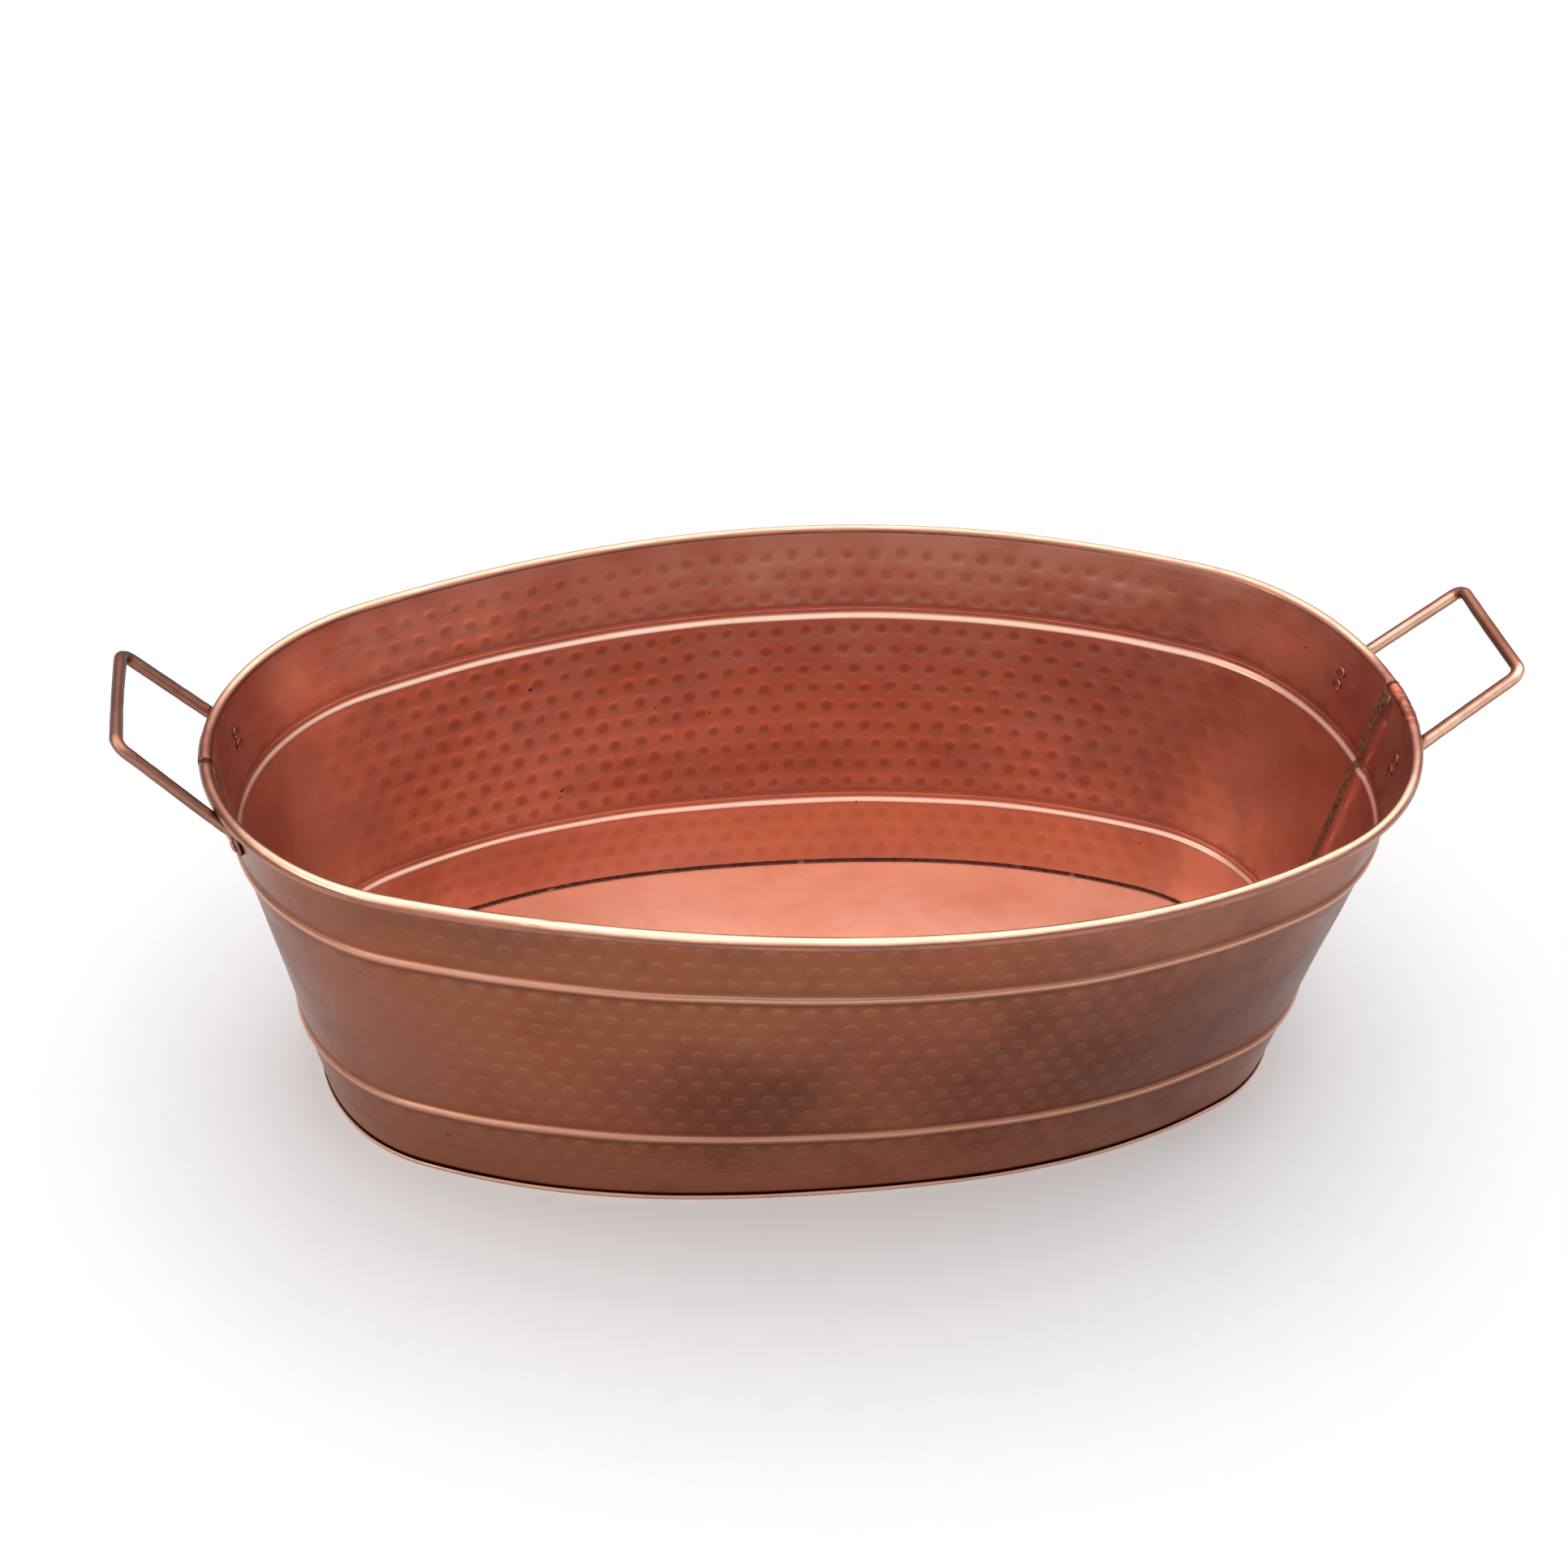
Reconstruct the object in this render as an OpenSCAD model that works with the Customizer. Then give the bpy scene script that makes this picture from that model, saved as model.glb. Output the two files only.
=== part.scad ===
// Oval party tub in hammered copper sheet.
// Two identical half sheets meet in a soldered lap at each end, curl over a rim wire at the top
// and stand in the folded foot seam of the bottom pan. A bent rod handle is riveted to each end.
// Frame: X along the tub, Y across it, Z up, origin on the ground under the middle of the tub.

/* [Tub] */
// Length over the rim roll
tub_length = 610; // [590:1:640]
// Height to the top of the rim roll
tub_height = 213; // [190:1:240]
// Length over the foot seam
foot_length = 523.5; // [517.5:1:529.5]
// Distance from the middle of the tub to the centre of each end's arc
end_centre = 172.8; // [169.2:1.8:176.4]
// Thickness of the wall sheet
sheet_t = 0.8; // [0.6:0.1:1]

/* [Rim and ribs] */
// Diameter of the wire inside the rim roll
wire_d = 4.8; // [4:0.1:5.5]
// Height of the lower rib
lower_rib_z = 51; // [40:1:60]
// Height of the upper rib
upper_rib_z = 164; // [155:1:170]
// How far a rib is pushed out of the wall
rib_depth = 1.8; // [1:0.1:2.5]
// Height of a rib on the wall
rib_width = 8; // [6:0.5:10]

/* [Bottom] */
// Height of the floor above the ground
floor_z = 10; // [9:0.5:16]
// Thickness of the bottom pan's sheet
pan_t = 1; // [0.8:0.1:1.2]
// Height of the folded foot seam
foot_seam_h = 3.2; // [2.5:0.1:5]
// Bend radius at the edge of the floor
floor_bend_r = 1.8; // [1.6:0.1:3]

/* [End seams] */
// Overlap of the two half sheets, in degrees about the end's centre
lap_angle = 1.4; // [1:0.1:5]
// Width of the solder bead along the lap's edge, in degrees about the end's centre
solder_angle = 2; // [1:0.1:3]
// Thickness of the solder bead
solder_t = 0.8; // [0.5:0.1:1.2]

/* [Handles] */
// Diameter of the handle rod
rod_d = 6.4; // [5.5:0.1:7]
// Distance between the centre lines of a handle's two arms
handle_w = 78; // [70:1:90]
// Length of an arm from the foot's bend to the grip's centre line
arm_length = 67; // [60:1:80]
// Rise of the arms above the horizontal
handle_rise = 44.5; // [42:0.5:47]
// Height of the bend between arm and foot
foot_bend_z = 199; // [197:0.5:199.5]
// Bend radius of the rod's centre line at the grip's corners
grip_bend_r = 6; // [5:0.5:12]
// Width of the flattened foot
foot_tab_w = 8.6; // [8:0.1:10]
// Thickness of the flattened foot
foot_tab_t = 2.6; // [2:0.1:3]

/* [Rivets] */
// Diameter of a rivet's shank
rivet_d = 3.4; // [3:0.1:4]
// Diameter of a rivet's heads
rivet_head_d = 6.6; // [6:0.1:7]
// Height of a rivet's head inside the tub
rivet_head_h = 1.7; // [1.2:0.1:2]
// Height of a rivet's closed end outside
rivet_tail_h = 1.5; // [1.2:0.1:2]
// Distance between the two rivets of a foot
rivet_pitch = 7; // [7:0.1:9]

/* [Hidden] */
$fn = 180;
gap = 0.05;
copper_red = [0.70, 0.41, 0.30];
copper_brown = [0.55, 0.33, 0.24];
steel_grey = [0.55, 0.56, 0.57];
solder_grey = [0.40, 0.37, 0.32];

// Rim roll, as offsets from the oval that the wall's outer face makes on the ground
curl_in_r = wire_d / 2 + 2 * gap;
curl_out_r = curl_in_r + sheet_t;
foot_proud = gap + pan_t;
base_a = foot_length / 2 - foot_proud;
roll_s = tub_length / 2 - curl_out_r - base_a;
roll_z = tub_height - curl_out_r;
// Lean of the wall from the vertical: its outer face is tangent to the inside of the curl
lean = atan2(roll_s, roll_z) - asin(curl_in_r / norm([roll_s, roll_z]));
curl_end = -130;
curl_steps = 24;
rib_steps = 6;

// Four-centred oval: end arcs about (+-end_centre, 0), side arcs about (0, -+side_centre).
// The lines through the centres follow the 36-77-85 triangle, and the arcs join on them.
side_centre = end_centre * 77 / 36;
end_r = base_a - end_centre;
side_r = end_r + end_centre * 85 / 36;
join = atan2(77, 36);
join_x = end_centre + end_r * cos(join);
// Angles that a sweep covers before the joining lines cut it
end_cover = 70;
side_cover = 60;

// Lap of the half sheets
half_gap_angle = 0.1;
jog_angle = 2;
lap_z0 = floor_z + 2;
lap_z1 = roll_z - 2 * curl_out_r;

// Where the plain wall starts in the foot seam and where the curl takes over from it
wall_foot_z = pan_t + gap;
wall_top_z = roll_z - curl_out_r;

// Bottom pan
bend_z = floor_z - floor_bend_r;
bend_steps = 8;
skirt_d = -sheet_t - gap;
bend_s = (skirt_d - floor_bend_r + bend_z * sin(lean)) / cos(lean);
floor_overlap = 4;
// The sealant fills the groove from one angle on the floor's bend to another
sealant_rise = 1.2;
sealant_top = 80;
sealant_low = 15;

// Handles: the foot lies on one straight line of the end's cone
rod_r = rod_d / 2;
foot_bend_rho = end_r + foot_bend_z * tan(lean) + (rod_r + gap) / cos(lean);
foot_angle = asin(handle_w / 2 / foot_bend_rho);
foot_bend = [end_centre + foot_bend_rho * cos(foot_angle), handle_w / 2, foot_bend_z];
foot_bend_u = foot_bend_z / cos(lean) + (rod_r + gap) * tan(lean);
// Length of the knuckle where the round rod becomes the flat foot, and of flat above the rivets
knuckle = 2.4;
rivet_edge = 0.3;
tab_top_u = foot_bend_u - knuckle;
upper_rivet_u = tab_top_u - rivet_head_d / 2 - rivet_edge;
lower_rivet_u = upper_rivet_u - rivet_pitch;
rivet_hole_d = rivet_d + 2 * gap;
// A flat head on a curved wall touches it at the edges, so it stands this far off at its middle
head_seat = 0.06;
// How far a cutter runs past the sheet that it cuts, and a shank into its heads
cut_past = 1;
shank_in = 0.2;

ENDS = ["left", "right"];
SIDES = ["front", "back"];
LEVELS = ["lower", "upper"];
RIVETS = [for (e = ENDS, s = SIDES, l = LEVELS) str("rivet_", e, "_", s, "_", l)];

// The point of the face at distance d that is at height z
function at_height(z, d) = [(d + z * sin(lean)) / cos(lean), z];
// A smooth hump one high and two halves wide
function bump(x, half) = abs(x) < half ? (1 + cos(180 * x / half)) / 2 : 0;
function rib(z) = rib_depth * (bump(z - lower_rib_z, rib_width / 2) + bump(z - upper_rib_z, rib_width / 2));
function rib_heights(z) = [for (i = [-rib_steps:rib_steps]) z + i * rib_width / 2 / rib_steps];
function wall_heights(z0, z1) = concat([z0], rib_heights(lower_rib_z), rib_heights(upper_rib_z), [z1]);
function face(z0, z1, d) = [for (z = wall_heights(z0, z1)) at_height(z, d + rib(z))];
function reversed(list) = [for (i = [len(list) - 1:-1:0]) list[i]];
function arc(c, r, from, to, steps) =
    [for (i = [0:steps]) c + r * [cos(from + (to - from) * i / steps), sin(from + (to - from) * i / steps)]];
function end_sign(e) = e == "right" ? 1 : -1;
function side_sign(s) = s == "back" ? 1 : -1;

// A strip of sheet between two heights and two distances, with the ribs pressed through it
module strip_section(z0, z1, d0, d1) {
    polygon(concat(face(z0, z1, d1), reversed(face(z0, z1, d0))));
}

// The wall's inner line from the curl down to the foot seam
function inner_line() = reversed(face(wall_foot_z, wall_top_z, -sheet_t));
// The same line where the wall steps inward to pass behind the other half sheet
function stepped_line() = concat(
    [at_height(lap_z1, -sheet_t)],
    reversed(face(lap_z0, lap_z1, -2 * sheet_t - gap)),
    [at_height(lap_z0, -sheet_t), at_height(wall_foot_z, -sheet_t)]);

// The whole wall in section, from its edge in the foot seam to the end of the curl
module wall_section(inner) {
    curl_start = 180 - lean;
    polygon(concat(
        face(wall_foot_z, wall_top_z, 0),
        arc([roll_s, roll_z], curl_in_r, curl_start, curl_end, curl_steps),
        arc([roll_s, roll_z], curl_out_r, curl_end, curl_start, curl_steps),
        inner));
}

// The space between the two lines on which the back side arc meets the end arcs
module back_sector() {
    linear_extrude(tub_height)
        polygon([[0, -side_centre], [2 * end_centre, side_centre], [-2 * end_centre, side_centre]]);
}

// Sweep a section of offsets round the right end, angles measured from +X
module end_sweep(from, to) {
    translate([end_centre, 0, 0])
        rotate_extrude(start = from, angle = to - from)
            translate([end_r, 0]) children();
}

module back_side() {
    intersection() {
        translate([0, -side_centre, 0])
            rotate_extrude(start = side_cover, angle = 180 - 2 * side_cover)
                translate([side_r, 0]) children();
        back_sector();
    }
}

// Sweep a section round the back half of the oval, from just past the right seam to the jog
module half_sweep() {
    difference() {
        end_sweep(half_gap_angle, end_cover) children();
        back_sector();
    }
    back_side() children();
    difference() {
        rotate([0, 0, 180]) end_sweep(-end_cover, -jog_angle) children();
        back_sector();
    }
}

// Sweep a section round the whole oval
module oval_sweep() {
    for (turn = [0, 180])
        rotate([0, 0, turn]) {
            back_side() children();
            difference() {
                end_sweep(-end_cover, end_cover) children();
                back_sector();
                rotate([0, 0, 180]) back_sector();
            }
        }
}

module oval_plate(s, z0, z1) {
    h = z1 - z0;
    translate([0, 0, z0]) {
        for (x = [-1, 1])
            translate([x * end_centre, 0, 0]) cylinder(h = h, r = end_r + s);
        intersection() {
            translate([0, -side_centre, 0]) cylinder(h = h, r = side_r + s, $fn = 360);
            translate([0, side_centre, 0]) cylinder(h = h, r = side_r + s, $fn = 360);
            translate([-join_x, -side_r, 0]) cube([2 * join_x, 2 * side_r, h]);
        }
    }
}

// Place children on an end's cone: local Z out of the wall, local X down it
module on_end(end_s, side_s, u) {
    translate([end_s * end_centre, 0, 0])
        rotate([0, 0, end_s > 0 ? side_s * foot_angle : 180 - side_s * foot_angle])
            translate([end_r + u * sin(lean), 0, u * cos(lean)])
                rotate([0, 90 + lean, 0]) children();
}

// One half sheet with its curl, its jogged lap at one end and the rivet holes of two feet
module half_sheet() {
    difference() {
        union() {
            half_sweep() wall_section(inner_line());
            rotate([0, 0, 180]) {
                end_sweep(-jog_angle, -half_gap_angle) wall_section(stepped_line());
                end_sweep(-jog_angle / 2, lap_angle)
                    strip_section(lap_z0, lap_z1, -2 * sheet_t - gap, -sheet_t - gap);
            }
        }
        for (end_s = [-1, 1], u = [lower_rivet_u, upper_rivet_u])
            on_end(end_s, 1, u)
                translate([0, 0, -sheet_t - cut_past])
                    cylinder(h = sheet_t + 2 * cut_past, d = rivet_hole_d, $fn = 48);
    }
}

module back_wall() {
    color(copper_red) half_sheet();
}

module front_wall() {
    color(copper_red) rotate([0, 0, 180]) half_sheet();
}

// Floor with its rounded edge, skirt and the hook that folds round the wall's lower edge
module pan_section() {
    inner = skirt_d - pan_t;
    bend = [bend_s, bend_z];
    polygon(concat(
        [[bend_s - 2 * floor_overlap, floor_z]],
        arc(bend, floor_bend_r, 90, -lean, bend_steps),
        [at_height(pan_t, skirt_d), at_height(pan_t, gap), at_height(foot_seam_h, gap),
         at_height(foot_seam_h, foot_proud), at_height(0, foot_proud), at_height(0, inner)],
        arc(bend, floor_bend_r - pan_t, -lean, 90, bend_steps),
        [[bend_s - 2 * floor_overlap, floor_z - pan_t]]));
}

module bottom_pan() {
    color(copper_red) {
        oval_sweep() pan_section();
        oval_plate(bend_s - floor_overlap, floor_z - pan_t, floor_z);
    }
}

// Wire in the rim roll, one closed ring
module rim_wire() {
    color(steel_grey) oval_sweep() translate([roll_s, roll_z]) circle(d = wire_d, $fn = 48);
}

// Solder beside the lap's edge, inside the tub
module right_seam_solder() {
    color(solder_grey)
        end_sweep(lap_angle + half_gap_angle, lap_angle + solder_angle)
            strip_section(lap_z0, lap_z1, skirt_d - solder_t, skirt_d);
}

module left_seam_solder() {
    rotate([0, 0, 180]) right_seam_solder();
}

// Sealant in the groove between the floor's rounded edge and the wall
module floor_sealant() {
    color(solder_grey) oval_sweep()
        polygon(concat(
            arc([bend_s, bend_z], floor_bend_r + gap, sealant_top, sealant_low, 6),
            [at_height(bend_z + sealant_rise, skirt_d), at_height(floor_z + sealant_rise, skirt_d)]));
}

// Right handle's grip and arms, lying in the plane local X (along the arms) and local Y
module bow() {
    half = handle_w / 2;
    straight = arm_length - grip_bend_r;
    translate([foot_bend[0], 0, foot_bend[2]])
        rotate([0, -handle_rise, 0]) {
            for (s = [-1, 1]) {
                translate([0, s * half, 0]) rotate([0, 90, 0]) cylinder(h = straight, r = rod_r, $fn = 48);
                translate([straight, s * (half - grip_bend_r), 0])
                    rotate_extrude(start = s > 0 ? 0 : -90, angle = 90)
                        translate([grip_bend_r, 0]) circle(r = rod_r, $fn = 48);
                translate([0, s * half, 0]) sphere(r = rod_r, $fn = 48);
            }
            translate([arm_length, -half + grip_bend_r, 0])
                rotate([-90, 0, 0]) cylinder(h = handle_w - 2 * grip_bend_r, r = rod_r, $fn = 48);
        }
}

// One flattened foot with its two rivet holes
module foot(side_s) {
    tab_len = tab_top_u - lower_rivet_u;
    difference() {
        union() {
            on_end(1, side_s, tab_top_u) translate([0, 0, gap]) {
                translate([tab_len, 0, 0]) cylinder(h = foot_tab_t, d = foot_tab_w, $fn = 48);
                translate([0, -foot_tab_w / 2, 0]) cube([tab_len, foot_tab_w, foot_tab_t]);
            }
            hull() {
                on_end(1, side_s, tab_top_u)
                    translate([0, -foot_tab_w / 2, gap]) cube([0.2, foot_tab_w, foot_tab_t]);
                translate([foot_bend[0], side_s * foot_bend[1], foot_bend[2]]) sphere(r = rod_r, $fn = 32);
            }
        }
        for (u = [lower_rivet_u, upper_rivet_u])
            on_end(1, side_s, u)
                translate([0, 0, gap - cut_past])
                    cylinder(h = foot_tab_t + 2 * cut_past, d = rivet_hole_d, $fn = 48);
    }
}

module handle() {
    color(copper_brown) {
        bow();
        foot(1);
        foot(-1);
    }
}

module right_handle() {
    handle();
}

module left_handle() {
    rotate([0, 0, 180]) handle();
}

// A domed head on local Z, standing on its flat side
module dome(h) {
    ball_r = (pow(rivet_head_d / 2, 2) + h * h) / (2 * h);
    intersection() {
        translate([0, 0, h - ball_r]) sphere(r = ball_r, $fn = 48);
        cylinder(h = 2 * h, d = 2 * rivet_head_d, $fn = 48);
    }
}

// A rivet through wall and foot: domed head inside, closed end outside
module rivet(end_s, side_s, u) {
    head_d = -sheet_t - head_seat;
    tail_d = foot_tab_t + 2 * gap;
    color(copper_brown) on_end(end_s, side_s, u) {
        translate([0, 0, head_d]) rotate([180, 0, 0]) dome(rivet_head_h);
        translate([0, 0, head_d - shank_in])
            cylinder(h = tail_d - head_d + 2 * shank_in, d = rivet_d, $fn = 48);
        translate([0, 0, tail_d]) dome(rivet_tail_h);
    }
}

front_wall();
back_wall();
bottom_pan();
rim_wire();
left_seam_solder();
right_seam_solder();
floor_sealant();
left_handle();
right_handle();
for (e = ENDS, s = SIDES, l = LEVELS)
    rivet(end_sign(e), side_sign(s), l == "upper" ? upper_rivet_u : lower_rivet_u);
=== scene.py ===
"""Oval hammered copper tub with riveted rod handles: the visual model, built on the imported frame.

Shapes are worked out in millimetres, with +X along the tub, +Y across it and +Z up, and are turned
into metres where their meshes are made. A point of the wall has a distance along its half sheet, a
height, and an offset outward from the oval that the wall's outer face makes on the ground.
"""
import math
import random

import bpy
import numpy as np
from mathutils import Matrix, Vector


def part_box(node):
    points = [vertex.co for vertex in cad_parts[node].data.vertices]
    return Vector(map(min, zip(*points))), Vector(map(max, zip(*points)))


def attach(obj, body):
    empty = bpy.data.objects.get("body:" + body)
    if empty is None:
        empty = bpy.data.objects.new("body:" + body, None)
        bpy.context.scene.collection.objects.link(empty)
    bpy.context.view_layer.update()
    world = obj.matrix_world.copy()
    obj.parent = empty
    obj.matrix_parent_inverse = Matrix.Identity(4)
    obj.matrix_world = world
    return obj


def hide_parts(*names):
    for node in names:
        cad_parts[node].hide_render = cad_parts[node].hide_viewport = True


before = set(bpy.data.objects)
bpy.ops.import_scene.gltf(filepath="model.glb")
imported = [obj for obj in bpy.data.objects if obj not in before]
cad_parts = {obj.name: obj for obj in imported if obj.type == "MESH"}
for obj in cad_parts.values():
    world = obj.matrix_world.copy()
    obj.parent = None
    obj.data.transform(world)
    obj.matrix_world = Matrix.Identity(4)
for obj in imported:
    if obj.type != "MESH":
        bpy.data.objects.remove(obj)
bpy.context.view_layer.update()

MM = 0.001
TAU = 2 * math.pi


# ---------------------------------------- sizes

def box_mm(node):
    low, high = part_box(node)
    return np.array(low) / MM, np.array(high) / MM


SHEET = 0.8                 # wall sheet
PAN = 1.0                   # bottom pan's sheet
GAP = 0.05                  # air between parts
RIB_DEPTH = 1.8
RIB_WIDTH = 8.0
RIB_FLANK = 2.9             # height over which a rib rises from the wall
LOWER_RIB = 51.0
UPPER_RIB = 164.0
SEALANT_RISE = 1.2
SEAM_HIGH = 3.2             # folded foot seam
FLOOR_BEND = 1.8

_, pan_high = box_mm("bottom_pan")
_, wall_high = box_mm("front_wall")
wire_low, wire_high = box_mm("rim_wire")
_, handle_high = box_mm("right_handle")
_, sealant_high = box_mm("floor_sealant")

# Four-centred oval: its arcs join on the lines of a 36-77-85 triangle
FOOT_PROUD = PAN + GAP
BASE_A = pan_high[0] - FOOT_PROUD
BASE_B = pan_high[1] - FOOT_PROUD
END_C = (BASE_A - BASE_B) * 36 / 28
SIDE_C = END_C * 77 / 36
END_R = BASE_A - END_C
SIDE_R = BASE_B + SIDE_C
JOIN = math.atan2(77, 36)

# Rim roll and the lean of the wall
WIRE_R = (wire_high[2] - wire_low[2]) / 2
CURL_IN = WIRE_R + 2 * GAP
CURL_OUT = CURL_IN + SHEET
ROLL_S = wall_high[0] - CURL_OUT - BASE_A
ROLL_Z = wall_high[2] - CURL_OUT
LEAN = math.atan2(ROLL_S, ROLL_Z) - math.asin(CURL_IN / math.hypot(ROLL_S, ROLL_Z))
SIN_L, COS_L = math.sin(LEAN), math.cos(LEAN)
RIM_A = BASE_A + ROLL_S
RIM_B = BASE_B + ROLL_S
FLOOR_Z = sealant_high[2] - SEALANT_RISE
SKIRT_D = -SHEET - GAP      # the pan's skirt lies against the wall's inner face
BEND_Z = FLOOR_Z - FLOOR_BEND
BEND_S = (SKIRT_D - FLOOR_BEND + BEND_Z * SIN_L) / COS_L

# Distance along a half sheet, measured half-way up the wall
MID_S = ROLL_S / 2
END_L = (END_R + MID_S) * JOIN
SIDE_L = (SIDE_R + MID_S) * (math.pi - 2 * JOIN)
HALF_L = 2 * END_L + SIDE_L

# Handles
ROD_R = 3.2
TAB_W = 8.6
TAB_T = 2.6
HANDLE_HALF = handle_high[1] - ROD_R
HANDLE_RISE = math.radians(44.5)
FOOT_BEND_Z = 199.0
GRIP_BEND = 6.0
foot_rho = END_R + FOOT_BEND_Z * math.tan(LEAN) + (ROD_R + GAP) / COS_L
FOOT_ANGLE = math.asin(HANDLE_HALF / foot_rho)

ENDS = (("right", 1), ("left", -1))
SIDES = (("front", -1), ("back", 1))
LEVELS = ("lower", "upper")


# ---------------------------------------- shape of the wall

ALONG_MARKS = [-END_L, 0, END_L, END_L + SIDE_L, HALF_L, HALF_L + END_L]
TURN_MARKS = [-JOIN, 0, JOIN, math.pi - JOIN, math.pi, math.pi + JOIN]
SLIPPED = 4.0               # the end seams sit this far round from the middle of the ends
RIGHT_ROLL_SLIP = -2.5      # added to it for the right seam on the roll
RIGHT_WALL_SLIP = -10.5     # added to it for the right seam below the roll
UNDER_ROLL = (207, 213)     # heights between which one gives way to the other
RIB_FADE = 1.2              # height over which the painted highlight and painted shade lines along a rib fade


def turn_at(along):
    """Direction of the oval's normal at a distance along the half sheet."""
    return np.interp(along, ALONG_MARKS, TURN_MARKS)


def slip(turn, z=math.inf, flipped=False):
    """Turn moved round by the seams' slip. Below the roll the right seam lies further to the front."""
    to_right = np.cos(turn) * (-1 if flipped else 1)
    under_roll = 1 - smooth(z, *UNDER_ROLL)
    extra = RIGHT_ROLL_SLIP + (RIGHT_WALL_SLIP - RIGHT_ROLL_SLIP) * under_roll
    moved = SLIPPED + extra * smooth(to_right, 0.0, 0.9)
    return turn_at(np.interp(turn, TURN_MARKS, ALONG_MARKS) + moved)


def oval(turn, offset):
    """Point of the oval with that normal, moved outward by the offset."""
    c, s = np.cos(turn), np.sin(turn)
    end = np.abs(s) < math.sin(JOIN)
    x = np.where(end, END_C * np.sign(c), 0) + (np.where(end, END_R, SIDE_R) + offset) * c
    y = np.where(end, 0, -SIDE_C * np.sign(s)) + (np.where(end, END_R, SIDE_R) + offset) * s
    return x, y


def offset_at(z, d):
    """Offset of the point at height z and at a distance d outside the wall's outer face."""
    return (d + z * SIN_L) / COS_L


def smooth(x, low, high):
    t = np.clip((x - low) / (high - low), 0, 1)
    return t * t * (3 - 2 * t)


def rib_part(x):
    return smooth(RIB_WIDTH / 2 - np.abs(x), 0, RIB_FLANK)


def rib(z):
    return RIB_DEPTH * (rib_part(z - LOWER_RIB) + rib_part(z - UPPER_RIB))


def near_rib(z, low, high):
    """1 between two heights measured from the middle of either rib, fading to 0 outside them."""
    total = 0
    for middle in (LOWER_RIB, UPPER_RIB):
        up = z - middle
        total = total + smooth(up, low - RIB_FADE, low) * (1 - smooth(up, high, high + RIB_FADE))
    return total


def settle(points):
    """The handmade tub is a little out of true: a lopsided rim and a foot with fuller shoulders."""
    x, y, z = points.T
    bearing = np.arctan2(y / RIM_B, x / RIM_A)
    far = np.hypot(x / RIM_A, y / RIM_B)
    up = np.clip(z / ROLL_Z, 0, 1)
    rim = -3.1 * np.sin(2 * bearing) - 4.3 * np.cos(3 * bearing) - 2.5 * np.sin(3 * bearing)
    foot = -3.2 * np.cos(4 * bearing) - 1.6 * np.sin(2 * bearing)
    lift = 2.0 * np.clip(np.cos(bearing - 0.2), 0, 1) ** 6 * up
    fade = smooth(far, 0.2, 0.75) * np.clip(1 - 5 * (far - 1), 0.3, 1)
    move = (rim * up + foot * (1 - up)) * fade
    nx, ny = np.cos(bearing) / RIM_A, np.sin(bearing) / RIM_B
    length = np.hypot(nx, ny)
    return np.column_stack([x + move * nx / length, y + move * ny / length, z + lift])


def sway(along, z, phase):
    """Slow, shallow unevenness of the sheet."""
    return (0.22 * np.sin(along / 31 + phase) * np.sin(z / 26 + 1.7 * phase)
            + 0.16 * np.sin(along / 17.3 - z / 22 + 2.3 * phase)
            + 0.10 * np.sin(along / 11.1 + z / 9.7 + phase))


# ---------------------------------------- meshes

def make(name, points, faces, materials, face_material=None, uv=None, marks=None, sharp=40):
    """A mesh object from points in millimetres. marks are named per-point values."""
    mesh = bpy.data.meshes.new(name)
    mesh.from_pydata((settle(np.asarray(points, float)) * MM).tolist(), [], faces)
    for material in materials:
        mesh.materials.append(material)
    if face_material is not None:
        mesh.polygons.foreach_set("material_index", face_material)
    mesh.polygons.foreach_set("use_smooth", [True] * len(faces))
    if sharp:
        mesh.set_sharp_from_angle(angle=math.radians(sharp))
    corners = np.zeros(len(mesh.loops), int)
    mesh.loops.foreach_get("vertex_index", corners)
    if uv is not None:
        layer = mesh.uv_layers.new(name="sheet")
        layer.data.foreach_set("uv", (np.asarray(uv, float)[corners] * MM).ravel())
    for key, values in (marks or {}).items():
        layer = mesh.attributes.new(key, "FLOAT", "POINT")
        layer.data.foreach_set("value", np.asarray(values, float))
    mesh.validate()
    piece = bpy.data.objects.new(name, mesh)
    bpy.context.scene.collection.objects.link(piece)
    return piece


def place(piece, node):
    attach(piece, "root")
    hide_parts(node)
    return piece


def ring_faces(rings, count):
    """Quads between rings of count points each."""
    faces = []
    for r in range(rings - 1):
        a = r * count
        for i in range(count):
            j = (i + 1) % count
            faces.append((a + i, a + j, a + count + j, a + count + i))
    return faces


def closed_faces(rings, count):
    """The same, with quads between the last ring and the first as well."""
    return [tuple(i % (rings * count) for i in f) for f in ring_faces(rings + 1, count)]


# ---------------------------------------- materials

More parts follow.
